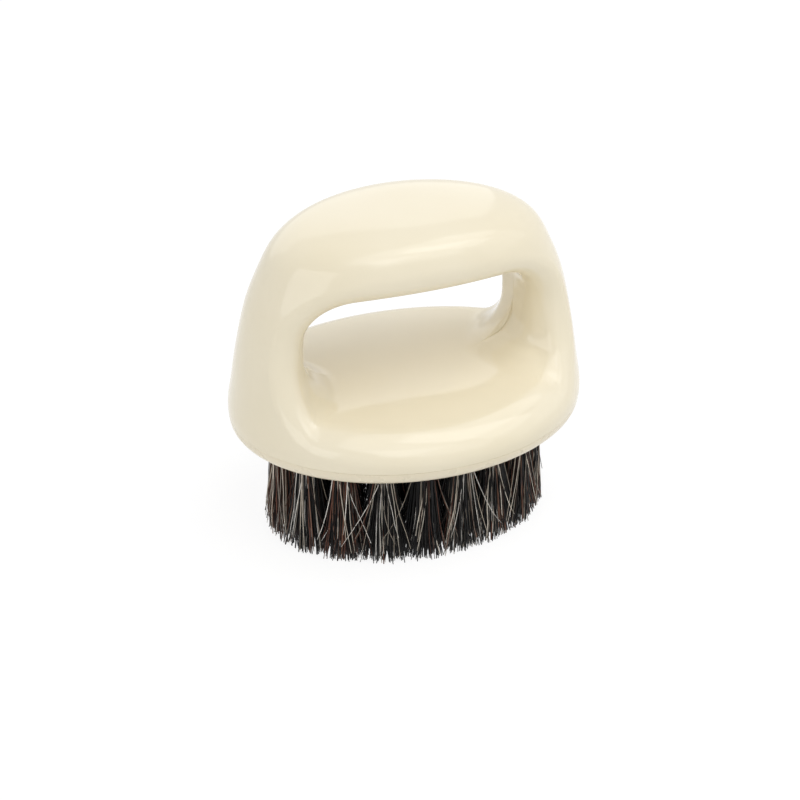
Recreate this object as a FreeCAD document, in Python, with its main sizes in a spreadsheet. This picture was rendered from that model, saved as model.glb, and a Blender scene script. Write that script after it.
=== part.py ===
import FreeCAD
import Part
import Sketcher
import math
import os

# Hand brush with a ring handle. The handle is two hollow moulded half shells that meet on the middle plane.
# An oval plate closes it underneath and carries hair tufts, each folded over a flat wire anchor.
# X runs along the brush, Y across it and Z up. The origin is in the middle of the trimmed hair ends.

# Cross sections of the handle's outer bell, from the foot up to the crest. Each has
# what its level is counted from: a share of the sill's height, a share of the opening's height above it,
# or a height above the opening's top (the bar); its level from there; how far its end stands past the
# opening's end; how far its side stands past a column's face; and its lean, from an upright side at 0
# to a flat roof at 90 degrees.
BELL_SECTIONS = [
    ("foot", "sill", 0.0, 11.5, 21.1, 0.0),
    ("roll", "sill", 0.134, 13.8, 23.4, 0.0),
    ("rim", "sill", 0.403, 14.6, 24.3, 0.0),
    ("flank", "sill", 0.821, 14.2, 22.4, 6.0),
    ("hip", "opening", 0.186, 13.4, 19.7, 9.0),
    ("waist", "opening", 0.548, 12.0, 16.6, 13.0),
    ("shoulder", "opening", 0.871, 10.1, 13.9, 20.0),
    ("brow", "bar", 3.4, 7.4, 11.7, 29.0),
    ("crest", "bar", 8.5, 4.5, 10.0, 42.0),
]
# Above the crest the crown closes. Each of its sections has its height above the opening's top, its shares of
# the crest's length and of the crest's depth, and its lean.
CROWN_SECTIONS = [
    ("crown_edge", 11.7, 0.875, 0.917, 60.0),
    ("crown_roll", 13.8, 0.665, 0.765, 76.0),
    ("crown", 15.0, 0.423, 0.48, 86.0),
]

SIZES = [
    # Shell walls and the seam with the plate
    ("wall", 2.4),
    ("grip_wall", 3.0),
    ("flange_height", 3.9),
    # Finger opening: its sill stands above the foot
    ("opening_length", 54.8),
    ("opening_height", 24.8),
    ("opening_sill", 13.4),
    ("opening_corner", 9.6),
    ("opening_round", 4.8),
    # Scoops in front and behind, which leave the two columns
    ("column_depth", 20.8),
    ("scoop_drop", 3.2),
    ("scoop_fillet", 7.0),
    ("floor_angle", 2.0),
    ("bar_angle", 30.0),
    ("rim_round", 5.4),
    # Locating pins between the half shells
    ("boss_diameter", 6.0),
    ("pin_diameter", 2.6),
    ("pin_length", 3.0),
    ("pin_clearance", 0.1),
    ("bar_pin_spacing", 28.0),
    # Tuft plate
    ("seam_bevel", 0.3),
    ("spigot_height", 3.4),
    ("spigot_clearance", 0.2),
    ("hole_diameter", 4.6),
    ("hole_depth", 5.4),
    # Hair tufts
    ("tuft_length", 25.5),
    ("tuft_tip_diameter", 7.2),
    ("tuft_clearance", 0.1),
    ("tuft_pitch", 9.0),
    ("ring_gap", 0.4),
    ("field_end_inset", 5.1),
    ("field_side_inset", 6.2),
    # Wire anchors
    ("anchor_height", 1.6),
    ("anchor_thickness", 0.4),
    ("anchor_bite", 0.25),
    ("anchor_cover", 0.9),
]
for section, datum, level, past_end, past_side, lean in BELL_SECTIONS:
    SIZES.append((section + "_level", level))
    SIZES.append((section + "_past_end", past_end))
    SIZES.append((section + "_past_side", past_side))
    SIZES.append((section + "_lean", lean))
for section, level, end_share, side_share, lean in CROWN_SECTIONS:
    SIZES.append((section + "_level", level))
    SIZES.append((section + "_end_share", end_share))
    SIZES.append((section + "_side_share", side_share))
    SIZES.append((section + "_lean", lean))

doc = FreeCAD.newDocument("hand_brush")
sheet = doc.addObject("Spreadsheet::Sheet", "sizes")
for row, (alias, number) in enumerate(SIZES, start=1):
    sheet.set("A%d" % row, alias)
    sheet.set("B%d" % row, str(number))
    sheet.setAlias("B%d" % row, alias)
doc.recompute()


def named(text):
    """Put the sheet's name before every alias in an expression."""
    words = text.split(" ")
    aliases = {alias for alias, number in SIZES}
    return " ".join("sizes." + word if word in aliases else word for word in words)


def value(text):
    """Present value of an expression."""
    return float(sheet.evalExpression(named(text)))


def add(kind, name, **bindings):
    """Add an object and bind its properties; a double underscore stands for a dot in the property path."""
    made = doc.addObject(kind, name)
    for prop, text in bindings.items():
        made.setExpression(prop.replace("__", "."), named(text))
    return made


DATUMS = {
    "sill": "tuft_length + {level} * opening_sill",
    "opening": "tuft_length + opening_sill + {level} * opening_height",
    "bar": "tuft_length + opening_sill + opening_height + {level}",
}
SECTION_DATUMS = {row[0]: row[1] for row in BELL_SECTIONS}
SECTION_DATUMS.update({row[0]: "bar" for row in CROWN_SECTIONS})
CROWN_NAMES = [row[0] for row in CROWN_SECTIONS]


def section_height(section):
    """Expression for a bell section's height above the trimmed hair ends."""
    return DATUMS[SECTION_DATUMS[section]].format(level=section + "_level")


def half_length(section):
    """Expression for half of a bell section's length."""
    if section in CROWN_NAMES:
        return half_length("crest") + " * " + section + "_end_share"
    return "( opening_length / 2 + " + section + "_past_end )"


def half_depth(section):
    """Expression for half of a bell section's depth."""
    if section in CROWN_NAMES:
        return half_depth("crest") + " * " + section + "_side_share"
    return "( column_depth / 2 + " + section + "_past_side )"


FOOT = section_height("foot")
TOP = section_height("crown")
SILL = "tuft_length + opening_sill"
# The widest section's half sizes, and a length that reaches past the handle in every direction.
END = half_length("rim")
SIDE = half_depth("rim")
REACH = "2 * " + END + " + 2 * " + SIDE
# Two places nearer than this, in millimetres, count as the same.
NEAR = 0.001
# The shares of its full radius that a rounding tries in turn.
GIVE_WAY = (1.0, 0.96, 0.92, 0.88, 0.84, 0.8, 0.76, 0.72)


def boolean(kind, name, base, tool):
    """A Part::Cut, Part::Common or Part::Fuse of two objects."""
    made = doc.addObject(kind, name)
    made.Base = base
    made.Tool = tool
    return made


def fused(name, shapes):
    """One object that joins several."""
    made = doc.addObject("Part::MultiFuse", name)
    made.Shapes = shapes
    return made


def bell(name, thickness):
    """Loft through the horizontal ovals, drawn in square to the surface by a thickness."""
    ovals = []
    for section in SECTION_DATUMS:
        inward = thickness + " * cos( " + section + "_lean * 1 deg )"
        downward = thickness + " * sin( " + section + "_lean * 1 deg )"
        ovals.append(add(
            "Part::Ellipse", name + "_" + section,
            MajorRadius=half_length(section) + " - " + inward,
            MinorRadius=half_depth(section) + " - " + inward,
            Placement__Base__z=section_height(section) + " - " + downward,
        ))
    loft = doc.addObject("Part::Loft", name)
    loft.Sections = ovals
    loft.Solid = True
    return loft


def origin_plane(body, role):
    """One of a body's own origin planes."""
    return next(item for item in body.Origin.OriginFeatures if item.Role == role)


def new_sketch(body, name, role):
    """Empty sketch on an origin plane of its body."""
    sketch = body.newObject("Sketcher::SketchObject", name)
    sketch.AttachmentSupport = [(origin_plane(body, role), "")]
    sketch.MapMode = "FlatFace"
    return sketch


def dimension(sketch, name, text, kind, *where):
    """Named sketch dimension bound to the sheet."""
    index = sketch.addConstraint(Sketcher.Constraint(kind, *where, value(text)))
    sketch.renameConstraint(index, name)
    sketch.setExpression("Constraints." + name, named(text))


def outline(sketch, corners):
    """Closed outline of straight lines, every corner dimensioned from the origin."""
    count = len(corners)
    places = [FreeCAD.Vector(value(across), value(up), 0) for across, up in corners]
    for index in range(count):
        sketch.addGeometry(Part.LineSegment(places[index], places[(index + 1) % count]), False)
    for index in range(count):
        sketch.addConstraint(Sketcher.Constraint("Coincident", index, 2, (index + 1) % count, 1))
    for index, (across, up) in enumerate(corners):
        dimension(sketch, "across_%d" % index, across, "DistanceX", -1, 1, index, 1)
        dimension(sketch, "up_%d" % index, up, "DistanceY", -1, 1, index, 1)


def pad_both_ways(body, sketch, name, length):
    """Pad a sketch to both sides of its plane."""
    pad = body.newObject("PartDesign::Pad", name)
    pad.Profile = sketch
    pad.Midplane = True
    pad.setExpression("Length", named(length))
    doc.recompute()
    return pad


def rounded(body, base, name, edges, radius):
    """Round some edges of a body's last feature."""
    fillet = body.newObject("PartDesign::Fillet", name)
    fillet.Base = (base, edges)
    fillet.setExpression("Radius", named(radius))
    doc.recompute()
    return fillet


def edges_along(shape, axis, inside):
    """Names of the straight edges along an axis whose middle passes a test."""
    found = []
    for index, edge in enumerate(shape.Edges, start=1):
        middle = edge.CenterOfMass
        if abs(edge.tangentAt(edge.FirstParameter).dot(axis)) > 0.999 and inside(middle):
            found.append("Edge%d" % index)
    return found


def scoop(name, growth):
    """Cutter beside the columns: a falling floor, an upright wall and a roof that rises under the bar."""
    body = doc.addObject("PartDesign::Body", name)
    sketch = new_sketch(body, name + "_profile", "YZ_Plane")
    wall = "( column_depth / 2 - " + growth + " )"
    fall = " * tan( floor_angle * 1 deg )"
    climb = " * tan( bar_angle * 1 deg )"
    floor = SILL + " - " + growth + " / cos( floor_angle * 1 deg ) - "
    roof = SILL + " + opening_height - scoop_drop + " + growth + " / cos( bar_angle * 1 deg )"
    far = "2 * " + SIDE
    outline(sketch, [
        (wall, floor + wall + fall),
        (far, floor + far + fall),
        (far, roof + " + ( " + far + " - column_depth / 2 )" + climb),
        (wall, roof + " - " + growth + climb),
    ])
    pad = pad_both_ways(body, sketch, name + "_pad", REACH)
    wall_place = value(wall)
    inner = edges_along(pad.Shape, FreeCAD.Vector(1, 0, 0), lambda point: abs(point.y - wall_place) < NEAR)
    rounded(body, pad, name + "_corners", inner, "scoop_fillet + " + growth)
    return body


def slot(name, growth):
    """Cutter for the finger opening: a rectangle with rounded corners, right through from front to back."""
    body = doc.addObject("PartDesign::Body", name)
    sketch = new_sketch(body, name + "_profile", "XZ_Plane")
    half = "( opening_length / 2 + " + growth + " )"
    low = SILL + " - " + growth
    high = SILL + " + opening_height + " + growth
    outline(sketch, [("0 - " + half, low), (half, low), (half, high), ("0 - " + half, high)])
    pad = pad_both_ways(body, sketch, name + "_pad", REACH)
    corners = edges_along(pad.Shape, FreeCAD.Vector(0, 1, 0), lambda point: True)
    rounded(body, pad, name + "_corners", corners, "opening_corner + " + growth)
    return body


def mirrored(name, source):
    """The same shape on the other side of the middle plane."""
    made = doc.addObject("Part::Mirroring", name)
    made.Source = source
    made.Normal = FreeCAD.Vector(0, 1, 0)
    return made


def lies_on(edge, shape):
    """Whether an edge lies on a shape's surface, tried at three places along it."""
    skin = Part.Compound(shape.Faces)
    reach = edge.LastParameter - edge.FirstParameter
    spots = [edge.valueAt(edge.FirstParameter + share * reach) for share in (0.2, 0.5, 0.8)]
    return all(Part.Vertex(spot).distToShape(skin)[0] < NEAR for spot in spots)


def round_meeting(name, base, first, seconds, radius):
    """Round the edges of a solid where the surface of one of its shapes meets that of another.
    Where a rounding would run into the next one, it gives way in small steps until both have room."""
    doc.recompute()
    edges = []
    for index, edge in enumerate(base.Shape.Edges, start=1):
        if lies_on(edge, first.Shape) and any(lies_on(edge, second.Shape) for second in seconds):
            edges.append(index)
    made = doc.addObject("Part::Fillet", name)
    made.Base = base
    for share in GIVE_WAY:
        made.Edges = [(index, share * radius, share * radius) for index in edges]
        doc.recompute()
        if not made.Shape.isNull() and made.Shape.isValid():
            break
    return made


def upright_box(name, length, depth, height, x, y, z):
    """Box with its sides along the axes; x, y and z are its lowest corner."""
    return add(
        "Part::Box", name, Length=length, Width=depth, Height=height,
        Placement__Base__x=x, Placement__Base__y=y, Placement__Base__z=z,
    )


def cross_cylinder(name, diameter, x, z, start, length):
    """Round bar along Y from a starting place."""
    made = doc.addObject("Part::Cylinder", name)
    made.Placement = FreeCAD.Placement(FreeCAD.Vector(), FreeCAD.Rotation(FreeCAD.Vector(1, 0, 0), -90))
    bindings = {"Radius": diameter + " / 2", "Height": length}
    bindings.update({"Placement.Base.x": x, "Placement.Base.y": start, "Placement.Base.z": z})
    for prop, text in bindings.items():
        made.setExpression(prop, named(text))
    return made


# The outside of the handle: a bell with a scoop on each side and the finger opening through the middle.
# Every edge a finger meets is rounded. The face of a column has room for a rounding on either side of it.
waist_share = "sqrt( 1 - ( column_depth / 2 / " + half_depth("waist") + " ) ^ 2 )"
column_face = half_length("waist") + " * " + waist_share + " - opening_length / 2"
FACE_SHARE = 0.62
round_room = min(FACE_SHARE * value(column_face), 0.9 * value("column_depth / 2"))

outside = bell("outside", "0")
rear_scoop = scoop("rear_scoop", "0")
front_scoop = mirrored("front_scoop", rear_scoop)
finger_slot = slot("finger_slot", "0")
scooped = boolean("Part::Cut", "scooped", outside, fused("scoops", [rear_scoop, front_scoop]))
rimmed = round_meeting(
    "rimmed", scooped, outside, [rear_scoop, front_scoop], min(value("rim_round"), round_room))
pierced = boolean("Part::Cut", "pierced", rimmed, finger_slot)
form = round_meeting(
    "form", pierced, rimmed, [finger_slot], min(value("opening_round"), round_room))

# The hollow inside keeps its wall to the bell and the grip's wall to the scoops and the opening.
# Round bosses in the bar and solid ribs in the columns carry the locating pins.
SEAM = FOOT + " + flange_height"
BAR_PIN = "bar_pin_spacing / 2"
BAR_HEIGHT = "( " + SILL + " + opening_height + grip_wall + " + TOP + " - wall ) / 2"
COLUMN_PIN = "( opening_length / 2 + grip_wall + " + half_length("waist") + " - wall ) / 2"
COLUMN_HEIGHT = SILL + " + opening_height / 2"
PIN_PLACES = [
    ("bar_left", "0 - " + BAR_PIN, BAR_HEIGHT),
    ("bar_right", BAR_PIN, BAR_HEIGHT),
    ("column_left", "0 - " + COLUMN_PIN, COLUMN_HEIGHT),
    ("column_right", COLUMN_PIN, COLUMN_HEIGHT),
]
rear_wall = scoop("rear_wall", "grip_wall")
bosses = []
for side, x, z in PIN_PLACES[:2]:
    bosses.append(cross_cylinder(side + "_boss", "boss_diameter", x, z, "0 - " + SIDE, "2 * " + SIDE))
ribs = upright_box(
    "column_ribs", "2 * " + END, "2 * " + SIDE, "boss_diameter",
    "0 - " + END, "0 - " + SIDE, COLUMN_HEIGHT + " - boss_diameter / 2")
kept = [rear_wall, mirrored("front_wall", rear_wall), slot("slot_wall", "grip_wall"), ribs]
cavity = boolean("Part::Cut", "cavity", bell("inside", "wall"), fused("kept_solid", kept + bosses))

rear_space = upright_box("rear_space", REACH, REACH, TOP, "0 - ( " + REACH + " ) / 2", "0", SEAM)
solid_half = boolean("Part::Common", "solid_half", form, rear_space)
rear_half = boolean("Part::Cut", "rear_half", solid_half, cavity)
front_half = mirrored("front_half", rear_half)
pins = []
sockets = []
for side, x, z in PIN_PLACES:
    pins.append(cross_cylinder(side + "_pin", "pin_diameter", x, z, "0 - pin_length", "2 * pin_length"))
    sockets.append(cross_cylinder(
        side + "_socket", "( pin_diameter + 2 * pin_clearance )", x, z, "0", "pin_length + pin_clearance"))
front_shell = fused("front_shell", [front_half] + pins)
rear_shell = boolean("Part::Cut", "rear_shell", rear_half, fused("sockets", sockets))

# The tuft plate: its flange carries on the bell below the seam, and its spigot fits inside the shells.
flange_space = upright_box(
    "flange_space", REACH, REACH, "flange_height",
    "0 - ( " + REACH + " ) / 2", "0 - ( " + REACH + " ) / 2", FOOT)
flange = boolean("Part::Common", "flange", form, flange_space)
doc.recompute()
seam_place = value(SEAM)
bevelled = doc.addObject("Part::Chamfer", "bevelled_flange")
bevelled.Base = flange
bevelled.Edges = [
    (index, value("seam_bevel"), value("seam_bevel"))
    for index, edge in enumerate(flange.Shape.Edges, start=1)
    if abs(edge.BoundBox.ZMin - seam_place) < NEAR and abs(edge.BoundBox.ZMax - seam_place) < NEAR
]
spigot_space = upright_box(
    "spigot_space", REACH, REACH, "flange_height + spigot_height",
    "0 - ( " + REACH + " ) / 2", "0 - ( " + REACH + " ) / 2", FOOT)
spigot = boolean("Part::Common", "spigot", bell("seat", "( wall + spigot_clearance )"), spigot_space)
blank = fused("plate_blank", [bevelled, spigot])


def along_oval(end, side, count):
    """Places spaced evenly along an oval of two half sizes, the first one at its end on +X."""
    steps = 720
    turns = [2 * math.pi * step / steps for step in range(steps + 1)]
    points = [(end * math.cos(turn), side * math.sin(turn)) for turn in turns]
    walked = [0.0]
    for here, there in zip(points, points[1:]):
        walked.append(walked[-1] + math.dist(here, there))
    places = []
    step = 0
    for index in range(count):
        target = walked[-1] * index / count
        while walked[step + 1] < target:
            step += 1
        share = (target - walked[step]) / (walked[step + 1] - walked[step])
        places.append(tuple(a + share * (b - a) for a, b in zip(points[step], points[step + 1])))
    return places


def oval_length(end, side):
    """The usual close estimate of the way round an oval of two half sizes."""
    return math.pi * (3 * (end + side) - math.sqrt((3 * end + side) * (end + 3 * side)))


def tuft_rings():
    """Tuft places ring by ring from the outside in; where no further ring fits, a row along the middle."""
    ring_step = value("tuft_tip_diameter + ring_gap")
    pitch = max(value("tuft_pitch"), ring_step)
    end = value(half_length("foot") + " - field_end_inset - tuft_tip_diameter / 2")
    side = value(half_depth("foot") + " - field_side_inset - tuft_tip_diameter / 2")
    rings = []
    while side > pitch:
        count = int(oval_length(end, side) / pitch)
        word = ("outer", "middle")[min(len(rings), 1)]
        number = "_%d" % len(rings) if len(rings) > 1 else ""
        rings.append((word + number, along_oval(end, side, count)))
        end -= ring_step
        side -= ring_step
    if end > 0:
        gaps = int(2 * end / pitch)
        first = -end if gaps else 0.0
        row = [(first + 2 * end * index / max(gaps, 1), 0.0) for index in range(gaps + 1)]
        rings.append(("centre", row))
    return rings


# One hole, one wire anchor and one hair tuft at every place. The hair is folded over its anchor in the hole.
holes = []
anchor_rings = []
tufts = []
anchor_foot = FOOT + " + hole_depth - anchor_cover - anchor_height"
for ring, places in tuft_rings():
    anchors = []
    for index, (x, y) in enumerate(places, start=1):
        tag = "_%02d" % index
        hole = add(
            "Part::Cylinder", ring + "_hole" + tag, Radius="hole_diameter / 2", Height="hole_depth",
            Placement__Base__z=FOOT)
        root = add(
            "Part::Cylinder", ring + "_root" + tag, Radius="hole_diameter / 2 - tuft_clearance",
            Height="hole_depth - tuft_clearance", Placement__Base__z=FOOT)
        brush = add(
            "Part::Cone", ring + "_hair" + tag, Radius1="tuft_tip_diameter / 2",
            Radius2="hole_diameter / 2 - tuft_clearance", Height="tuft_length")
        anchor = add(
            "Part::Box", ring + "_anchor" + tag, Length="hole_diameter + 2 * anchor_bite",
            Width="anchor_thickness", Height="anchor_height", Placement__Base__z=anchor_foot)
        for upright in (hole, root, brush):
            upright.Placement.Base.x = x
            upright.Placement.Base.y = y
        anchor.setExpression("Placement.Base.x", named("%.6f - ( hole_diameter / 2 + anchor_bite )" % x))
        anchor.setExpression("Placement.Base.y", named("%.6f - anchor_thickness / 2" % y))
        bundle = fused(ring + "_bundle" + tag, [root, brush])
        tufts.append(boolean("Part::Cut", ring + "_tuft" + tag, bundle, anchor))
        holes.append(hole)
        anchors.append(anchor)
    group = doc.addObject("Part::Compound", ring + "_anchors")
    group.Links = anchors
    anchor_rings.append(group)

drilled = boolean("Part::Cut", "drilled_plate", blank, fused("holes", holes))
tuft_plate = boolean("Part::Cut", "tuft_plate", drilled, fused("notches", anchor_rings))
doc.recompute()

for item in doc.Objects:
    if "Invalid" in item.State or "Error" in item.State:
        raise RuntimeError(item.Label + " did not build")
nodes = [front_shell, rear_shell, tuft_plate] + tufts + anchor_rings
os.makedirs("parts", exist_ok=True)
for node in nodes:
    if node.Shape.isNull() or not node.Shape.isValid() or not node.Shape.Solids:
        raise RuntimeError(node.Label + " is not a sound solid")
    node.Shape.exportStep("parts/" + node.Label + ".step")
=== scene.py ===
import math

import bpy
import numpy as np
from mathutils import Matrix, Vector


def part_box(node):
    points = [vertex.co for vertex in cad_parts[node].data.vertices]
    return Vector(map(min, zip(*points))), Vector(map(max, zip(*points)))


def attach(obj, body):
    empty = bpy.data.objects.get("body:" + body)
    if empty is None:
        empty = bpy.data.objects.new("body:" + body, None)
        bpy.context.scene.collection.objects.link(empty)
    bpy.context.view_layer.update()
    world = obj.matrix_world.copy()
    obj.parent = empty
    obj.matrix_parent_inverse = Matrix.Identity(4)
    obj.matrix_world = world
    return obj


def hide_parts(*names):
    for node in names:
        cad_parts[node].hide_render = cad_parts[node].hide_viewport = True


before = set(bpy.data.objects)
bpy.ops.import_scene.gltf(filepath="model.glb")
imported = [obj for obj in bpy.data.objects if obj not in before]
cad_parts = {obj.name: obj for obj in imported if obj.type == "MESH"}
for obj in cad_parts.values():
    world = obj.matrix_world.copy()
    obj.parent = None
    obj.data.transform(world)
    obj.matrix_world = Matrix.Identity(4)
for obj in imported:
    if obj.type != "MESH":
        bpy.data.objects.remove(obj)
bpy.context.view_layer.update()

MM = 0.001
BODY = "root"
FULL_TURN = 2.0 * math.pi
random = np.random.default_rng(19)

# Heights in millimetres, from the CAD frame: the plate's underside, and above it the seam and the top.
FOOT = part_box("tuft_plate")[0].z / MM
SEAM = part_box("front_shell")[0].z / MM - FOOT
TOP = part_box("front_shell")[1].z / MM - FOOT

# The handle's outer bell: height above the foot, half length and half depth.
# Two stations are mirrored past the apex, so that the crown closes level.
BELL_STATIONS = np.array([
    (0.0, 38.9, 31.5),
    (1.8, 41.2, 33.8),
    (5.4, 42.0, 34.7),
    (11.0, 41.6, 32.8),
    (18.0, 40.8, 30.1),
    (27.0, 39.4, 27.0),
    (35.0, 37.5, 24.3),
    (41.6, 34.8, 22.1),
    (46.7, 31.9, 20.4),
    (49.9, 27.9, 18.7),
    (51.9, 21.2, 15.4),
    (52.9, 12.6, 9.6),
    (TOP, 0.0, 0.0),
])
APEX = len(BELL_STATIONS) - 1
PAST_APEX = BELL_STATIONS[APEX - 1:APEX - 3:-1] * (1.0, -1.0, -1.0)
BELL_SAMPLES = 4000

# The finger opening, in millimetres, with heights above the foot: half length, sill, top, the radius of its
# upper corners and the round of its edges.
OPENING_HALF = 27.4
OPENING_SILL = 13.4
OPENING_TOP = 38.2
OPENING_CORNER = 9.6
OPENING_ROUND = 5.5
OPENING_MIDDLE = (OPENING_SILL + OPENING_TOP) / 2.0
# The scoops in front of and behind the columns: the columns' half depth, the flare of their faces towards the
# ends of the brush, and the roof under the bar, which rises outwards.
COLUMN_HALF = 10.4
COLUMN_FLARE = 6.5
FLARE_START = 25.0
FLARE_REACH = 15.0
SCOOP_ROOF = 35.0
BAR_SLOPE = 0.57
SCOOP_FILLET = 7.0
# The floor under them falls by this much at this distance from the middle.
FLOOR_FALL = 2.2
FLOOR_REACH = 31.0
# The fillet between a column's face and the floor.
FACE_FOOT_FILLET = 14.0
# The same fillet inside the opening, by mould half: at the parting on the left and on the right, and the
# share of it left at the column's inner edge. The halves don't quite agree halfway up the right column: the
# front half's fillet is tighter there by the last value, so a narrow crescent of the rear half shows.
FRONT_FEET = (10.6, 13.0, 0.84, 2.4)
REAR_FEET = (10.6, 13.0, 0.70, 0.0)
# Where the halves disagree: the heights at which that begins and starts to fade, and how fast it does.
STEP_LOW = 14.4
STEP_RISE = 2.5
STEP_HIGH = 20.0
STEP_FADE = 5.0
# The rear half's edge is rounded off there: the angle round the opening, its reach in radians and the radius.
STEP_MIDDLE = -0.31
STEP_REACH = 0.12
STEP_ROUND = 1.0

# Rounds of the room's outer rim, of the two edges at the seam, and of the parting on the opening's end walls.
RIM_ROUND = 5.5
SEAM_ROUND = 0.14
PARTING_ROUND = 0.09
# The end walls begin where the cosine of the angle round the opening passes this, and are full so much later.
END_WALL_START = 0.78
END_WALL_REACH = 0.12
# Rows of points lie at these distances from an edge, close enough for its round. Even rows begin at the
# margin.
EDGE_PLACES = np.array([0.0, 0.015, 0.04, 0.08, 0.12, 0.17, 0.24, 0.36])
EDGE_MARGIN = 0.6

# The search for the surface, in millimetres: where the probe starts from the opening's middle line, and how
# far it and each ray reach. Then the steps of the probe and of a ray, and the halvings that follow.
PROBE_START = 5.0
RAY_REACH = 60.0
PROBE_STEPS = 1200
RAY_STEPS = 60
HALVINGS = 22
# Guards against dividing by nothing: at the apex, on the axis and where the bell's radius hardly changes.
LEAST_HALF = 0.05
LEAST_RADIUS = 1e-6
LEAST_SLOPE = 1e-3


def natural_spline(knots, values, at):
    """Cubic curve through the values at the knots: the second derivatives solve the usual tridiagonal system
    with zero at both ends, and each span is the cubic that they give."""
    gap = np.diff(knots)
    count = len(knots)
    system = np.zeros((count, count))
    right = np.zeros((count, values.shape[1]))
    inner = np.arange(1, count - 1)
    system[0, 0] = system[-1, -1] = 1.0
    system[inner, inner - 1] = gap[:-1]
    system[inner, inner] = 2.0 * (gap[:-1] + gap[1:])
    system[inner, inner + 1] = gap[1:]
    rise = np.diff(values, axis=0) / gap[:, None]
    right[1:-1] = 6.0 * np.diff(rise, axis=0)
    bend = np.linalg.solve(system, right)
    span = np.clip(np.searchsorted(knots, at, side="right") - 1, 0, count - 2)
    here = (at - knots[span])[:, None]
    step = gap[span][:, None]
    start, end = bend[span], bend[span + 1]
    slope = rise[span] - step * (2.0 * start + end) / 6.0
    return values[span] + slope * here + start * here ** 2 / 2.0 + (end - start) * here ** 3 / (6.0 * step)


def bell_profile():
    """Heights, half lengths and half depths along the bell, from the spline over its stations' chord length.
    Each height is kept a trace above the one before, so that the profile can be looked up by height."""
    stations = np.concatenate([BELL_STATIONS, PAST_APEX])
    chord = np.concatenate([[0.0], np.cumsum(np.linalg.norm(np.diff(stations, axis=0), axis=1))])
    curve = natural_spline(chord, stations, np.linspace(0.0, chord[APEX], BELL_SAMPLES))
    trace = 1e-9
    curve[:, 0] = np.maximum.accumulate(curve[:, 0] + trace * np.arange(BELL_SAMPLES))
    return curve.T


BELL_HEIGHT, BELL_LENGTH, BELL_DEPTH = bell_profile()


def rounded_max(first, second, radius):
    """The larger of two distances, with the edge where they are equal rounded: inside the corner it is the
    distance from a circle of that radius that touches both."""
    corner = np.hypot(np.maximum(radius + first, 0.0), np.maximum(radius + second, 0.0))
    return np.minimum(-radius, np.maximum(first, second)) + corner


def ease(share):
    """Smooth step from 0 to 1 as a share runs from 0 to 1: s^2 (3 - 2s)."""
    share = np.clip(share, 0.0, 1.0)
    return share ** 2 * (3.0 - 2.0 * share)


def foot_fillet(x, y, h, feet):
    """Radius of the fillet at a column's foot. Inside the opening it shrinks from the parting to the column's
    inner edge, and from there it eases over to the fillet below the column's face."""
    left_fillet, right_fillet, edge_share, step = feet
    tightened = step * ease((h - STEP_LOW) / STEP_RISE) * (1.0 - ease((h - STEP_HIGH) / STEP_FADE))
    parting_fillet = np.where(x > 0.0, right_fillet - tightened, left_fillet)
    inner_fillet = parting_fillet * (1.0 - (1.0 - edge_share) * ease(y / COLUMN_HALF))
    to_face = ease((np.abs(x) - OPENING_HALF) / OPENING_ROUND)
    return inner_fillet + (FACE_FOOT_FILLET - inner_fillet) * to_face


def handle_field(x, y, h, feet):
    """About the distance from the handle's surface, negative inside. It is the bell, less the room for the
    hand. The bell's distance is (r - 1) / |grad r| of the oval radius r. The room's upper part joins two
    forms: a scoop on each side, between an upright wall that flares towards the ends and a roof that rises
    outwards, and the finger opening, a rectangle in x and h with rounded upper corners. The room stands on a
    domed floor, with a fillet round the foot of each column. All edges are rounded."""
    y = np.abs(y)
    length = np.maximum(np.interp(h, BELL_HEIGHT, BELL_LENGTH), LEAST_HALF)
    depth = np.maximum(np.interp(h, BELL_HEIGHT, BELL_DEPTH), LEAST_HALF)
    oval = np.hypot(x / length, y / depth)
    slope = np.hypot(x / length ** 2, y / depth ** 2) / np.maximum(oval, LEAST_RADIUS)
    bell = (oval - 1.0) / np.maximum(slope, LEAST_SLOPE)
    bell = np.maximum(bell, np.maximum(-h, h - TOP))
    roof = (h - SCOOP_ROOF - BAR_SLOPE * (y - COLUMN_HALF)) / math.hypot(1.0, BAR_SLOPE)
    flare = COLUMN_FLARE * (np.maximum(np.abs(x) - FLARE_START, 0.0) / FLARE_REACH) ** 2
    scoop = rounded_max(COLUMN_HALF + flare - y, roof, SCOOP_FILLET)
    past_x = np.abs(x) - (OPENING_HALF - OPENING_CORNER)
    past_h = h - (OPENING_TOP - OPENING_CORNER)
    beyond = np.hypot(np.maximum(past_x, 0.0), np.maximum(past_h, 0.0))
    opening = beyond + np.minimum(np.maximum(past_x, past_h), 0.0) - OPENING_CORNER
    room = -rounded_max(-scoop, -opening, OPENING_ROUND)
    dome = OPENING_SILL - FLOOR_FALL * (y / FLOOR_REACH) ** 2
    floor = (dome - h) / np.sqrt(1.0 + (2.0 * FLOOR_FALL * y / FLOOR_REACH ** 2) ** 2)
    room = rounded_max(room, floor, foot_fillet(x, y, h, feet))
    return rounded_max(bell, -room, RIM_ROUND)


def first_crossing(inside, outside, field):
    """Where a field turns positive on the way from one array of points to another: even steps find the span,
    then halving narrows it. Points are the last axis; returns the share of the way."""
    shares = np.linspace(0.0, 1.0, RAY_STEPS)
    found = np.ones(inside.shape[:-1])
    open_rays = np.ones(inside.shape[:-1], bool)
    for share in shares[1:]:
        value = field(inside + (outside - inside) * share)
        hit = open_rays & (value > 0.0)
        found[hit] = share
        open_rays &= ~hit
    high = found
    low = found - shares[1]
    for _ in range(HALVINGS):
        middle = (low + high) / 2.0
        positive = field(inside + (outside - inside) * middle[..., None]) > 0.0
        high = np.where(positive, middle, high)
        low = np.where(positive, low, middle)
    return (low + high) / 2.0


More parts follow.
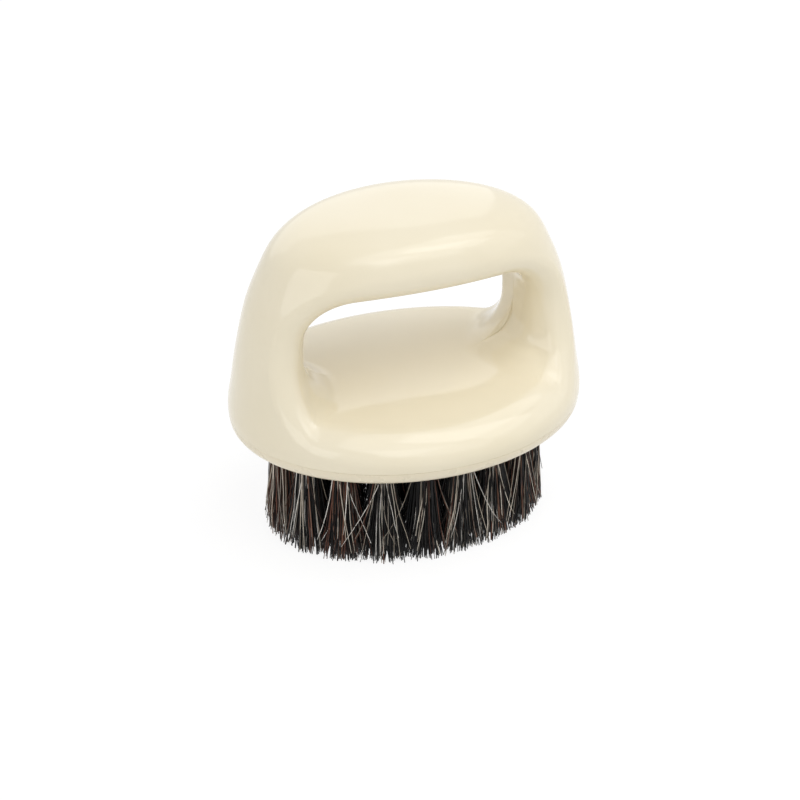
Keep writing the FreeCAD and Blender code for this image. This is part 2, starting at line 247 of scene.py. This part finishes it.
def resample(keys, values, targets):
    """Linear lookup along each row: every row gets its own stretch of one long increasing axis, so a single
    interpolation serves them all. Keys and targets run from 0 to 1."""
    offset = 2.0 * np.arange(len(keys))[:, None]
    found = np.interp((targets + offset).ravel(), (keys + offset).ravel(), values.ravel())
    return found.reshape(targets.shape)


def edge_drop(distance, radius):
    """How far a quarter-round edge lies under the surface at a distance from the edge."""
    toward = np.clip(radius - distance, 0.0, None)
    return radius - np.sqrt(np.maximum(radius ** 2 - toward ** 2, 0.0))


def section_angles(ring_sections, foot_sections):
    """Angles of sections round the opening's middle line. From the seam's right end over the bar to its left
    end they are even. From there back under the opening they are those that meet the seam's oval at even
    turns."""
    seam_end = np.interp(SEAM, BELL_HEIGHT, BELL_LENGTH)
    left_end = math.atan2(SEAM - OPENING_MIDDLE, -seam_end) % FULL_TURN
    ring_angle = np.linspace(math.pi - left_end, left_end, ring_sections)
    oval_turn = math.pi * (1.0 + (np.arange(foot_sections) + 0.5) / foot_sections)
    foot_angle = np.arctan2(SEAM - OPENING_MIDDLE, seam_end * np.cos(oval_turn)) % FULL_TURN
    return np.concatenate([ring_angle, foot_angle])


def section_outlines(across, up, feet, rays):
    """Outlines of the sections that point across and up from the opening's middle line, as distance from that
    line and depth. A section's own middle lies halfway through the solid on the middle plane. Rays from it
    meet the surface once; their angle runs from the opening's wall over the front to the outside."""

    def section_field(points):
        """The field at distances and depths in every section."""
        distance, depth = points[..., 0], points[..., 1]
        return handle_field(distance * across, depth, OPENING_MIDDLE + distance * up, feet)

    def plane_points(distance, depth):
        """Pairs of distance and depth along a last axis."""
        return np.stack(np.broadcast_arrays(distance, depth), axis=-1)

    probe = np.linspace(PROBE_START, RAY_REACH, PROBE_STEPS)
    solid = section_field(plane_points(probe + 0.0 * across, 0.0)) < 0.0
    inner = probe[np.argmax(solid, axis=1)]
    outer = probe[PROBE_STEPS - 1 - np.argmax(solid[:, ::-1], axis=1)]
    centre = ((inner + outer) / 2.0)[:, None]
    sweep = np.linspace(0.0, math.pi, rays)[None, :]
    start = plane_points(centre + 0.0 * sweep, 0.0)
    end = plane_points(centre - RAY_REACH * np.cos(sweep), RAY_REACH * np.sin(sweep) + 0.0 * centre)
    return start + (end - start) * first_crossing(start, end, section_field)[..., None]


def lengths_to_seam(walked, height):
    """How far each outline runs: to where it first falls below the seam, found by its share of that fall, or
    else to its end. The first quarter is the opening's wall and doesn't count.
    Returns the lengths and which outlines stop at the seam, as columns."""
    sections, rays = height.shape
    below = height < SEAM
    below[:, :rays // 4] = False
    stops = below.any(axis=1)
    after = np.where(stops, np.argmax(below, axis=1), rays - 1)
    row = np.arange(sections)
    fall = height[row, after - 1] - height[row, after]
    part = np.where(stops, (height[row, after - 1] - SEAM) / np.where(stops, fall, 1.0), 1.0)
    length = walked[row, after - 1] + part * (walked[row, after] - walked[row, after - 1])
    return length[:, None], stops[:, None]


def half_handle(feet, step_round, ring_sections, foot_sections, rays, rows, seam_rows, back_rows):
    """Front half of the handle as a closed ring of sections, each in the half plane at one angle round the
    opening's middle line. An outline is respaced evenly by length, and the edges at its ends are rounded off.
    The section is closed along the seam and back up the middle plane. The parting keeps a rounded edge only
    on the opening's two end walls; elsewhere it was buffed flush.
    Returns points in millimetres, sections by places round the section."""
    angle = section_angles(ring_sections, foot_sections)[:, None]
    across, up = np.cos(angle), np.sin(angle)
    outline = section_outlines(across, up, feet, rays)
    walked = np.cumsum(np.linalg.norm(np.diff(outline, axis=1), axis=2), axis=1)
    walked = np.concatenate([np.zeros((len(angle), 1)), walked], axis=1)
    length, stops = lengths_to_seam(walked, OPENING_MIDDLE + outline[..., 0] * up)

    even_places = EDGE_MARGIN + np.linspace(0.0, 1.0, rows) * (length - 2.0 * EDGE_MARGIN)
    places = np.concatenate([EDGE_PLACES + 0.0 * length, even_places, length - EDGE_PLACES[::-1]], axis=1)
    scale = walked[:, -1:]
    distance = resample(walked / scale, outline[..., 0], places / scale)
    depth = resample(walked / scale, outline[..., 1], places / scale)

    along = np.stack([np.gradient(distance, axis=1), np.gradient(depth, axis=1)], axis=-1)
    along /= np.linalg.norm(along, axis=-1, keepdims=True)
    inward = np.stack([along[..., 1], -along[..., 0]], axis=-1)
    on_end_wall = ease((np.abs(across) - END_WALL_START) / END_WALL_REACH)
    on_step = np.exp(-((angle - STEP_MIDDLE) / STEP_REACH) ** 2)
    inner_round = PARTING_ROUND * on_end_wall + step_round * on_step
    outer_round = np.where(stops, SEAM_ROUND, 0.0)
    sunk = edge_drop(places, inner_round) + edge_drop(length - places, outer_round)
    distance = distance + inward[..., 0] * sunk
    depth = depth + inward[..., 1] * sunk

    last = distance[:, -1:]
    corner = np.where(stops, (SEAM - OPENING_MIDDLE) / np.minimum(up, -LEAST_RADIUS), last)
    seam_way = np.linspace(0.0, 1.0, seam_rows + 1)[None, 1:]
    back_way = np.linspace(0.0, 1.0, back_rows + 2)[None, 1:-1]
    distance = np.concatenate([
        distance, last + (corner - last) * seam_way, corner + (distance[:, :1] - corner) * back_way], axis=1)
    depth = np.concatenate([depth, depth[:, -1:] * (1.0 - seam_way), 0.0 * back_way + 0.0 * corner], axis=1)
    return np.stack([distance * across, -depth, FOOT + OPENING_MIDDLE + distance * up], axis=-1)


def grid_faces(rows, columns, flip):
    """Quads of a grid whose rows and columns both run round and close."""
    row, column = np.meshgrid(np.arange(rows), np.arange(columns), indexing="ij")
    next_row, next_column = (row + 1) % rows, (column + 1) % columns
    corners = [row * columns + column, next_row * columns + column,
               next_row * columns + next_column, row * columns + next_column]
    quads = np.stack([corner.ravel() for corner in corners], axis=-1)
    return quads[:, ::-1] if flip else quads


def mesh_piece(name, points, face_groups, material):
    """New smooth-shaded object at the origin, from points in millimetres and arrays of quads or triangles."""
    mesh = bpy.data.meshes.new(name)
    corners = np.concatenate([faces.ravel() for faces in face_groups])
    sizes = np.concatenate([np.full(len(faces), faces.shape[1]) for faces in face_groups])
    mesh.vertices.add(len(points))
    mesh.vertices.foreach_set("co", (points * MM).astype(np.float32).ravel())
    mesh.loops.add(len(corners))
    mesh.loops.foreach_set("vertex_index", corners.astype(np.int32))
    mesh.polygons.add(len(sizes))
    mesh.polygons.foreach_set("loop_start", (np.cumsum(sizes) - sizes).astype(np.int32))
    mesh.update(calc_edges=True)
    mesh.validate()
    mesh.polygons.foreach_set("use_smooth", np.ones(len(mesh.polygons), bool))
    mesh.materials.append(material)
    piece = bpy.data.objects.new(name, mesh)
    bpy.context.scene.collection.objects.link(piece)
    return piece


def linear(hex_colour):
    """Scene-linear colour of an sRGB hex value, with alpha 1, by the two parts of the sRGB curve."""
    channels = np.array([int(hex_colour[place:place + 2], 16) for place in (0, 2, 4)]) / 255.0
    light = np.where(channels <= 0.04045, channels / 12.92, ((channels + 0.055) / 1.055) ** 2.4)
    return (*light.tolist(), 1.0)


def add_node(tree, kind, inputs, **settings):
    """Add a node, set its properties, and give each input a value or a link from another node's output."""
    made = tree.nodes.new(kind)
    for name, value in settings.items():
        setattr(made, name, value)
    for socket, value in inputs.items():
        if isinstance(value, bpy.types.NodeSocket):
            tree.links.new(value, made.inputs[socket])
        else:
            made.inputs[socket].default_value = value
    return made


def new_material(name):
    """Empty node material and its tree."""
    material = bpy.data.materials.new(name)
    material.use_nodes = True
    material.node_tree.nodes.clear()
    return material, material.node_tree


def per_millimetre(size):
    """Texture scale at which one repeat is that many millimetres."""
    return 1.0 / (size * MM)


# Nearly all of a noise texture's values lie between these.
NOISE_SPAN = {"From Min": 0.3, "From Max": 0.7}
# The attribute that holds each hair's own colour.
HAIR_COLOUR = "hair_colour"


def polished_abs(name, pale, deep, smooth, dull):
    """ABS from a polished mould: an even cream with slow flow clouds, a gloss that wanders a little between
    smooth and dull where the mould was polished by hand, and the faintest waviness in its reflections.
    Sizes are in millimetres."""
    cloud_size = 26.0
    polish_size = 5.0
    wave_size = 9.0
    wave_height = 0.03
    material, tree = new_material(name)
    place = add_node(tree, "ShaderNodeTexCoord", {}).outputs["Object"]
    clouds = add_node(tree, "ShaderNodeTexNoise", {
        "Vector": place, "Scale": per_millimetre(cloud_size),
        "Detail": 2.0, "Roughness": 0.45}).outputs["Fac"]
    colour = add_node(tree, "ShaderNodeMix", {
        0: clouds, 6: linear(pale), 7: linear(deep)}, data_type="RGBA").outputs[2]
    polish = add_node(tree, "ShaderNodeTexNoise", {
        "Vector": place, "Scale": per_millimetre(polish_size),
        "Detail": 4.0, "Roughness": 0.6}).outputs["Fac"]
    roughness = add_node(tree, "ShaderNodeMapRange", {
        "Value": polish, **NOISE_SPAN, "To Min": smooth, "To Max": dull}).outputs["Result"]
    waves = add_node(tree, "ShaderNodeTexNoise", {
        "Vector": place, "Scale": per_millimetre(wave_size), "Detail": 1.0}).outputs["Fac"]
    normal = add_node(tree, "ShaderNodeBump", {
        "Height": waves, "Strength": 0.35, "Distance": wave_height * MM}).outputs["Normal"]
    shader = add_node(tree, "ShaderNodeBsdfPrincipled", {
        "Base Color": colour, "Roughness": roughness, "Normal": normal, "IOR": 1.53})
    add_node(tree, "ShaderNodeOutputMaterial", {"Surface": shader.outputs["BSDF"]})
    return material


def horsehair(name):
    """Boiled and drawn horsehair: each hair has its own colour from root to tip, with darker and paler
    stretches a few millimetres long, and a soft shine."""
    stretch_size = 2.5
    material, tree = new_material(name)
    tone = add_node(tree, "ShaderNodeAttribute", {}, attribute_name=HAIR_COLOUR).outputs["Color"]
    place = add_node(tree, "ShaderNodeTexCoord", {}).outputs["Object"]
    stretches = add_node(tree, "ShaderNodeTexNoise", {
        "Vector": place, "Scale": per_millimetre(stretch_size), "Detail": 1.0}).outputs["Fac"]
    gain = add_node(tree, "ShaderNodeMapRange", {
        "Value": stretches, **NOISE_SPAN, "To Min": 0.7, "To Max": 1.25}).outputs["Result"]
    colour = add_node(tree, "ShaderNodeVectorMath", {0: tone, "Scale": gain}, operation="SCALE").outputs[0]
    shader = add_node(tree, "ShaderNodeBsdfPrincipled", {
        "Base Color": colour, "Roughness": 0.42, "IOR": 1.55, "Specular IOR Level": 0.25})
    add_node(tree, "ShaderNodeOutputMaterial", {"Surface": shader.outputs["BSDF"]})
    return material


def drawn_wire(name):
    """Tinned steel wire, drawn flat: bright, with fine lines along x, the way that every wire was drawn.
    Sizes are in millimetres."""
    line_width = 0.15
    line_length = 3.0
    material, tree = new_material(name)
    place = add_node(tree, "ShaderNodeTexCoord", {}).outputs["Object"]
    stretched = add_node(tree, "ShaderNodeMapping", {
        "Vector": place, "Scale": (line_width / line_length, 1.0, 1.0)}).outputs["Vector"]
    lines = add_node(tree, "ShaderNodeTexNoise", {
        "Vector": stretched, "Scale": per_millimetre(line_width), "Detail": 2.0}).outputs["Fac"]
    roughness = add_node(tree, "ShaderNodeMapRange", {
        "Value": lines, **NOISE_SPAN, "To Min": 0.25, "To Max": 0.45}).outputs["Result"]
    shader = add_node(tree, "ShaderNodeBsdfPrincipled", {
        "Base Color": linear("B9B7B2"), "Metallic": 1.0, "Roughness": roughness})
    add_node(tree, "ShaderNodeOutputMaterial", {"Surface": shader.outputs["BSDF"]})
    return material


handle_abs = polished_abs("polished_cream_ABS", pale="F1E8D1", deep="EADFC2", smooth=0.06, dull=0.10)
plate_abs = polished_abs("moulded_cream_ABS", pale="EEE4CC", deep="E6DABD", smooth=0.24, dull=0.34)
hair_material = horsehair("mixed_horsehair")
wire_material = drawn_wire("drawn_steel_wire")

# The two half shells of the handle. The rear one is worked out as a front one and mirrored.
for name, node, feet, step_round, side in (
        ("handle_front", "front_shell", FRONT_FEET, 0.0, 1.0),
        ("handle_rear", "rear_shell", REAR_FEET, STEP_ROUND, -1.0)):
    shell_grid = half_handle(
        feet, step_round, ring_sections=190, foot_sections=120, rays=420, rows=150, seam_rows=3, back_rows=4)
    shell_faces = grid_faces(*shell_grid.shape[:2], flip=side > 0.0)
    shell_points = shell_grid.reshape(-1, 3) * np.array([1.0, side, 1.0])
    shell = mesh_piece(name, shell_points, [shell_faces], handle_abs)
    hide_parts(node)
    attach(shell, BODY)


def plate_rings(turns, side_rows, round_rows, face_rows):
    """The tuft plate: the bell's own outline from the seam down to the foot, with a rounded upper edge, a
    small round at the foot and flat faces above and below. Each row is an oval: half length times cos, half
    depth times sin. Returns the rows from the middle of the top face round to the middle of the underside."""
    foot_round = 0.5
    turn = np.linspace(0.0, FULL_TURN, turns, endpoint=False)
    side = np.concatenate([SEAM - EDGE_PLACES, np.linspace(SEAM - EDGE_MARGIN, foot_round, side_rows)])
    bend = np.linspace(0.0, math.pi / 2.0, round_rows + 1)[1:]
    heights = np.concatenate([side, foot_round * (1.0 - np.sin(bend))])
    drops = np.concatenate([edge_drop(SEAM - side, SEAM_ROUND), foot_round * (1.0 - np.cos(bend))])
    length = np.interp(heights, BELL_HEIGHT, BELL_LENGTH) - drops
    depth = np.interp(heights, BELL_HEIGHT, BELL_DEPTH) - drops
    inward = np.linspace(1.0, 0.0, face_rows + 2)[1:-1]
    heights = np.concatenate([np.full(face_rows, SEAM), heights, np.zeros(face_rows)])
    length = np.concatenate([length[0] * inward[::-1], length, length[-1] * inward])
    depth = np.concatenate([depth[0] * inward[::-1], depth, depth[-1] * inward])
    return np.stack([
        length[:, None] * np.cos(turn), depth[:, None] * np.sin(turn),
        FOOT + heights[:, None] + 0.0 * turn], axis=-1)


def plate_mesh(rings):
    """Points and faces of the plate: quads between its rows, without those that would join the last row to
    the first, and a fan of triangles round the middle of each flat face."""
    rows, turns = rings.shape[:2]
    middles = np.array([(0.0, 0.0, FOOT + SEAM), (0.0, 0.0, FOOT)])
    last_row = (rows - 1) * turns
    sides = grid_faces(rows, turns, flip=False)[:last_row]
    here = np.arange(turns)
    beside = (here + 1) % turns
    top_middle, low_middle = rows * turns, rows * turns + 1
    fans = np.concatenate([
        np.stack([0 * here + top_middle, here, beside], axis=-1),
        np.stack([0 * here + low_middle, last_row + beside, last_row + here], axis=-1)])
    return np.concatenate([rings.reshape(-1, 3), middles]), [sides, fans]


plate_points, plate_faces = plate_mesh(plate_rings(turns=240, side_rows=22, round_rows=6, face_rows=7))
plate = mesh_piece("plate", plate_points, plate_faces, plate_abs)
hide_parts("tuft_plate")
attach(plate, BODY)

# Natural hair colours: four shades each of black, brown and pale hair, and how far a hair's shade may vary.
HAIR_SHADES = (
    ("040404", "080707", "0C0D10", "161413"),
    ("33211A", "4E3228", "6B4537", "84614F"),
    ("9A9288", "BBB0A1", "DAD1C3", "F4F0E9"))
BLACK, BROWN, PALE = range(3)
SHADE_GAIN = (0.8, 1.2)
# The share of brown hair in a tuft, what the ends of the brush add to it, its scatter and its limits.
# Then the share of pale hair, its scatter and its limits.
BROWN_SHARE = 0.10
BROWN_AT_ENDS = 0.30
BROWN_SCATTER = 0.10
BROWN_LIMITS = (0.04, 0.6)
PALE_SHARE = 0.095
PALE_SCATTER = 0.04
PALE_LIMITS = (0.03, 0.25)

# A hair's rings and sides, its radius in millimetres, the range of that from hair to hair, and the share of
# it that is left at the tip. Real horsehair is about 0.15 mm thick. It is drawn thicker, so that it shows.
HAIR_RINGS = 6
HAIR_SIDES = 3
HAIR_RADIUS = 0.145
HAIR_GAIN = (0.75, 1.2)
TIP_THICKNESS = (0.7, 0.95)
# A hair's line, in millimetres: how deep its root sits in the plate, the share of its way out at which it
# bends, with a scatter, the shares of its height between which it bends, and its wave's width and turns.
ROOT_DEPTH = 0.6
BEND_OUT = 0.32
BEND_SCATTER = 0.55
BEND_HEIGHT = (0.42, 0.58)
WAVE_WIDTH = 0.22
WAVE_TURNS = (0.7, 1.6)

# The holes, and the trimmed field at the floor: half length and half depth.
HOLE_RADIUS = 2.2
FIELD = np.array([33.6, 24.9])
# Tips in millimetres: their scatter, the share of wild hairs and their scatter, how unevenly the field's edge
# was trimmed, and how high above the floor the tips end.
TIP_SCATTER = 1.1
WILD_SHARE = 0.12
WILD_SCATTER = 3.4
TRIM = (0.985, 1.03)
TIP_HEIGHT = 1.0
TIP_HEIGHT_SCATTER = 0.75
TIP_HEIGHT_MOST = 3.6
# Stray hairs: how far out and sideways their tips lie, how these are trimmed and how high they end, the range
# of the hairs' thickness, the share of it left at the tip, and how many are pale. The others are brown.
STRAY_OUT = (0.8, 2.6)
STRAY_SIDEWAYS = 4.4
STRAY_TRIM = (0.97, 1.0)
STRAY_HEIGHT = (0.0, 7.0)
STRAY_GAIN = (0.7, 1.0)
STRAY_TIP_THICKNESS = 0.7
STRAY_PALE_SHARE = 0.75


def hair_tubes(lines, radii):
    """Closed three-sided tubes round lines of points; lines are hairs by rings by xyz, radii hairs by rings.
    Each ring is a triangle in a level plane, turned at random from hair to hair.
    Returns points, side quads and end triangles."""
    count = len(lines)
    turn = random.uniform(0.0, FULL_TURN, (count, 1)) + FULL_TURN * np.arange(HAIR_SIDES) / HAIR_SIDES
    ring = np.stack([np.cos(turn), np.sin(turn), 0.0 * turn], axis=-1)
    points = lines[:, :, None] + radii[:, :, None, None] * ring[:, None]
    first = np.arange(count)[:, None, None] * HAIR_RINGS * HAIR_SIDES
    base = first + np.arange(HAIR_RINGS - 1)[None, :, None] * HAIR_SIDES
    side = np.arange(HAIR_SIDES)[None, None, :]
    beside = (side + 1) % HAIR_SIDES
    quads = np.stack(np.broadcast_arrays(
        base + side, base + HAIR_SIDES + side, base + HAIR_SIDES + beside, base + beside), axis=-1)
    root_cap = first[:, 0] + np.arange(HAIR_SIDES)
    tip_cap = root_cap[:, ::-1] + (HAIR_RINGS - 1) * HAIR_SIDES
    return points.reshape(-1, 3), [quads.reshape(-1, 4), root_cap, tip_cap]


def hair_lines(roots, tips, tip_heights):
    """Lines of hairs from level places of roots and tips and the tips' heights.
    A hair leaves the plate upright and leans over: (1-t)^2 root + 2t(1-t) control + t^2 tip, with the control
    a third of the way out at about half height. A slow wave across it grows from root to tip."""
    count = len(roots)
    t = np.linspace(0.0, 1.0, HAIR_RINGS)[None, :, None]
    control = roots + (tips - roots) * BEND_OUT + random.normal(0.0, BEND_SCATTER, (count, 2))
    start = np.column_stack([roots, np.full(count, FOOT + ROOT_DEPTH)])[:, None]
    bend = np.column_stack([control, FOOT * random.uniform(*BEND_HEIGHT, count)])[:, None]
    end = np.column_stack([tips, tip_heights])[:, None]
    lines = (1.0 - t) ** 2 * start + 2.0 * t * (1.0 - t) * bend + t ** 2 * end
    wave_way = random.normal(0.0, WAVE_WIDTH, (count, 1, 2))
    wave_turns = random.uniform(*WAVE_TURNS, (count, 1, 1))
    wave_start = random.uniform(0.0, 1.0, (count, 1, 1))
    lines[..., :2] += wave_way * np.sin(FULL_TURN * (wave_turns * t + wave_start)) * t
    return lines


def trimmed(tips, span):
    """Level places of tips. Those past the field's oval are drawn in to it, unevenly: what they are divided
    by varies in a span."""
    past = np.linalg.norm(tips / FIELD, axis=1, keepdims=True)
    return tips / np.maximum(past * random.uniform(*span, (len(tips), 1)), 1.0)


def shades(kinds):
    """Linear colours for an array of kinds of hair: one of the kind's shades at random, a little up or
    down."""
    palette = np.array([[linear(shade) for shade in kind] for kind in HAIR_SHADES])
    colours = palette[kinds, random.integers(0, palette.shape[1], len(kinds))]
    return colours * random.uniform(*SHADE_GAIN, (len(kinds), 1))


def tuft_hair(centres, per_tuft, spread):
    """Hairs of several tufts. A root lies evenly over its hole's disc. The tip lies where the root's own
    radius fans out to the spread, moved by a normal scatter, some hairs much further, and is trimmed at the
    field's edge. Tufts near the ends of the brush hold more brown hair. Returns lines, radii and colours."""
    count = len(centres) * per_tuft
    centre = np.repeat(centres, per_tuft, axis=0)
    far = np.sqrt(random.uniform(0.0, 1.0, (count, 1)))
    turn = random.uniform(0.0, FULL_TURN, count)
    outward = np.stack([np.cos(turn), np.sin(turn)], axis=-1)
    roots = centre + outward * far * HOLE_RADIUS
    scatter = np.where(random.uniform(0.0, 1.0, (count, 1)) < WILD_SHARE, WILD_SCATTER, TIP_SCATTER)
    tips = centre + outward * far * spread + random.normal(0.0, 1.0, (count, 2)) * scatter
    tips = trimmed(tips, TRIM)
    tip_heights = np.clip(random.normal(TIP_HEIGHT, TIP_HEIGHT_SCATTER, count), 0.0, TIP_HEIGHT_MOST)
    lines = hair_lines(roots, tips, tip_heights)
    radius = HAIR_RADIUS * random.uniform(*HAIR_GAIN, (count, 1))
    thinning = np.linspace(1.0, 0.0, HAIR_RINGS)
    radii = radius * (random.uniform(*TIP_THICKNESS, (count, 1)) * (1.0 - thinning) + thinning)
    at_ends = BROWN_AT_ENDS * (centres[:, 0] / FIELD[0]) ** 2
    brown = np.clip(BROWN_SHARE + at_ends + random.normal(0.0, BROWN_SCATTER, len(centres)), *BROWN_LIMITS)
    pale = np.clip(random.normal(PALE_SHARE, PALE_SCATTER, len(centres)), *PALE_LIMITS)
    pick = random.uniform(0.0, 1.0, count)
    brown, pale = np.repeat(brown, per_tuft), np.repeat(pale, per_tuft)
    kinds = np.where(pick < pale, PALE, np.where(pick < pale + brown, BROWN, BLACK))
    return lines, radii, shades(kinds)


def stray_hair(centres, per_tuft):
    """Single pale or brown hairs on the outside of the outer tufts, which cross their neighbours: the root
    lies on the outer edge of the hole, and the tip is moved along the ring and a little outwards.
    Returns lines, radii and colours."""
    count = len(centres) * per_tuft
    centre = np.repeat(centres, per_tuft, axis=0)
    outward = centre / FIELD ** 2
    outward /= np.linalg.norm(outward, axis=1, keepdims=True)
    sideways = np.stack([-outward[:, 1], outward[:, 0]], axis=-1)
    across = random.uniform(-1.0, 1.0, (count, 1))
    roots = centre + HOLE_RADIUS * (outward * np.sqrt(1.0 - across ** 2) + sideways * across)
    tips = roots + outward * random.uniform(*STRAY_OUT, (count, 1))
    tips += sideways * random.normal(0.0, STRAY_SIDEWAYS, (count, 1))
    tips = trimmed(tips, STRAY_TRIM)
    lines = hair_lines(roots, tips, random.uniform(*STRAY_HEIGHT, count))
    thinning = np.linspace(1.0, STRAY_TIP_THICKNESS, HAIR_RINGS)
    radii = HAIR_RADIUS * random.uniform(*STRAY_GAIN, (count, 1)) * thinning
    kinds = np.where(random.uniform(0.0, 1.0, count) < STRAY_PALE_SHARE, PALE, BROWN)
    return lines, radii, shades(kinds)


# One piece of hair for each ring of tufts, and the wire that holds it.
for ring, per_tuft, spread in (("outer", 310, 5.2), ("middle", 220, 5.2), ("centre", 220, 5.6)):
    nodes = sorted(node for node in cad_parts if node.startswith(ring + "_tuft_"))
    boxes = [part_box(node) for node in nodes]
    centres = np.array([((low + high) / 2.0).to_2d() for low, high in boxes]) / MM
    groups = [tuft_hair(centres, per_tuft, spread)]
    if ring == "outer":
        groups.append(stray_hair(centres, per_tuft=9))
    lines, radii, colours = (np.concatenate(parts) for parts in zip(*groups))
    points, face_groups = hair_tubes(lines, radii)
    hair = mesh_piece(ring + "_hair", points, face_groups, hair_material)
    point_colours = np.repeat(colours, HAIR_RINGS * HAIR_SIDES, axis=0)
    tone = hair.data.attributes.new(HAIR_COLOUR, "FLOAT_COLOR", "POINT")
    tone.data.foreach_set("color", point_colours.astype(np.float32).ravel())
    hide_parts(*nodes)
    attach(hair, BODY)
    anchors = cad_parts[ring + "_anchors"]
    anchors.data.materials.clear()
    anchors.data.materials.append(wire_material)


def white_to_view(tree, surface, share, strength):
    """Mixes a share of plain white into a surface as the camera, reflections and glass see it."""
    light_path = add_node(tree, "ShaderNodeLightPath", {})
    mirrored = add_node(tree, "ShaderNodeMath", {
        0: light_path.outputs["Is Camera Ray"], 1: light_path.outputs["Is Glossy Ray"]}, operation="MAXIMUM")
    seen = add_node(tree, "ShaderNodeMath", {
        0: mirrored.outputs[0], 1: light_path.outputs["Is Transmission Ray"]}, operation="MAXIMUM")
    factor = add_node(tree, "ShaderNodeMath", {0: seen.outputs[0], 1: share}, operation="MULTIPLY")
    white = add_node(tree, "ShaderNodeEmission", {"Color": linear("FFFFFF"), "Strength": strength})
    mixed = add_node(tree, "ShaderNodeMixShader", {
        0: factor.outputs[0], 1: surface, 2: white.outputs["Emission"]})
    return mixed.outputs["Shader"]


# Matt white floor. To the view it is mostly plain white, and keeps a share of the shadow that falls on it.
FLOOR_HALF = 3000.0
floor_material, floor_tree = new_material("matt_white_floor")
floor_matt = add_node(floor_tree, "ShaderNodeBsdfDiffuse", {"Color": linear("F2F2F2")})
floor_shown = white_to_view(floor_tree, floor_matt.outputs["BSDF"], share=0.8, strength=1.09)
add_node(floor_tree, "ShaderNodeOutputMaterial", {"Surface": floor_shown})
floor_corners = np.array([(-1.0, -1.0, 0.0), (1.0, -1.0, 0.0), (1.0, 1.0, 0.0), (-1.0, 1.0, 0.0)])
floor = mesh_piece("studio_floor", floor_corners * FLOOR_HALF, [np.array([[0, 1, 2, 3]])], floor_material)

# An even white room, dimmer as a light than it looks.
world = bpy.data.worlds.new("white_room")
bpy.context.scene.world = world
world.use_nodes = True
world.node_tree.nodes.clear()
room_light = add_node(world.node_tree, "ShaderNodeBackground", {"Color": linear("FFFFFF"), "Strength": 0.52})
room_shown = white_to_view(world.node_tree, room_light.outputs["Background"], share=1.0, strength=1.0)
add_node(world.node_tree, "ShaderNodeOutputWorld", {"Surface": room_shown})

# The point that all lamps face, in metres: about the brush's middle.
LIT_POINT = Vector((0.0, 0.0, 0.045))


def soft_box(name, place, bearing, width, height, power):
    """Rectangular lamp in metres and watts that faces the brush. Its width runs along a bearing in degrees
    from the x axis, as far as facing the brush allows."""
    lamp = bpy.data.lights.new(name, "AREA")
    lamp.shape = "RECTANGLE"
    lamp.size = width
    lamp.size_y = height
    lamp.energy = power
    facing = (Vector(place) - LIT_POINT).normalized()
    along = Vector((math.cos(math.radians(bearing)), math.sin(math.radians(bearing)), 0.0))
    across = facing.cross(along).normalized()
    turned = Matrix((across.cross(facing), across, facing)).transposed()
    holder = bpy.data.objects.new(name, lamp)
    holder.matrix_world = Matrix.Translation(place) @ turned.to_4x4()
    bpy.context.scene.collection.objects.link(holder)


# Two boxes overhead and one in front make the highlights on the bar and at the columns' feet. The rest fill.
soft_box("overhead_box", (0.15, -0.15, 0.78), bearing=45.0, width=1.20, height=0.50, power=2.0)
soft_box("overhead_strip", (0.36, -0.18, 0.74), bearing=-25.0, width=0.60, height=0.30, power=0.8)
soft_box("front_box", (0.14, -0.54, 0.66), bearing=0.0, width=0.75, height=0.34, power=0.75)
soft_box("left_fill", (-0.90, -0.35, 0.45), bearing=-69.0, width=0.80, height=0.60, power=1.6)
soft_box("right_fill", (0.90, -0.30, 0.55), bearing=72.0, width=0.80, height=0.60, power=0.6)
soft_box("back_fill", (0.0, 0.90, 0.45), bearing=0.0, width=1.20, height=0.60, power=1.15)

# Camera, from the photograph: its turn to the left, its rise, and its distance in millimetres from the aim, a
# point on the brush's middle axis. The aim lies at a height above the foot and shows at a known pixel.
CAMERA_TURN = math.radians(22.75)
CAMERA_RISE = math.radians(27.95)
CAMERA_DISTANCE = 691.0
PIXELS_PER_MM = 4.35
IMAGE_SIZE = 800.0
SENSOR = 36.0
AIM_HEIGHT = 26.57
AIM_PIXEL = (404.73, 310.56)
back = Vector((
    -math.sin(CAMERA_TURN) * math.cos(CAMERA_RISE),
    -math.cos(CAMERA_TURN) * math.cos(CAMERA_RISE),
    math.sin(CAMERA_RISE)))
aim = Vector((0.0, 0.0, (FOOT + AIM_HEIGHT) * MM))
right = Vector((0.0, 0.0, 1.0)).cross(back).normalized()
upward = back.cross(right)
camera_data = bpy.data.cameras.new("camera")
camera_data.sensor_width = SENSOR
camera_data.lens = SENSOR * PIXELS_PER_MM * CAMERA_DISTANCE / IMAGE_SIZE
camera = bpy.data.objects.new("camera", camera_data)
camera.location = aim + back * CAMERA_DISTANCE * MM
step_right = (IMAGE_SIZE / 2.0 - AIM_PIXEL[0]) / PIXELS_PER_MM * MM
step_up = (AIM_PIXEL[1] - IMAGE_SIZE / 2.0) / PIXELS_PER_MM * MM
look_at = aim + right * step_right + upward * step_up
camera.rotation_euler = (look_at - camera.location).to_track_quat("-Z", "Y").to_euler()
bpy.context.scene.collection.objects.link(camera)
bpy.context.scene.camera = camera
bpy.context.scene.view_settings.view_transform = "Standard"
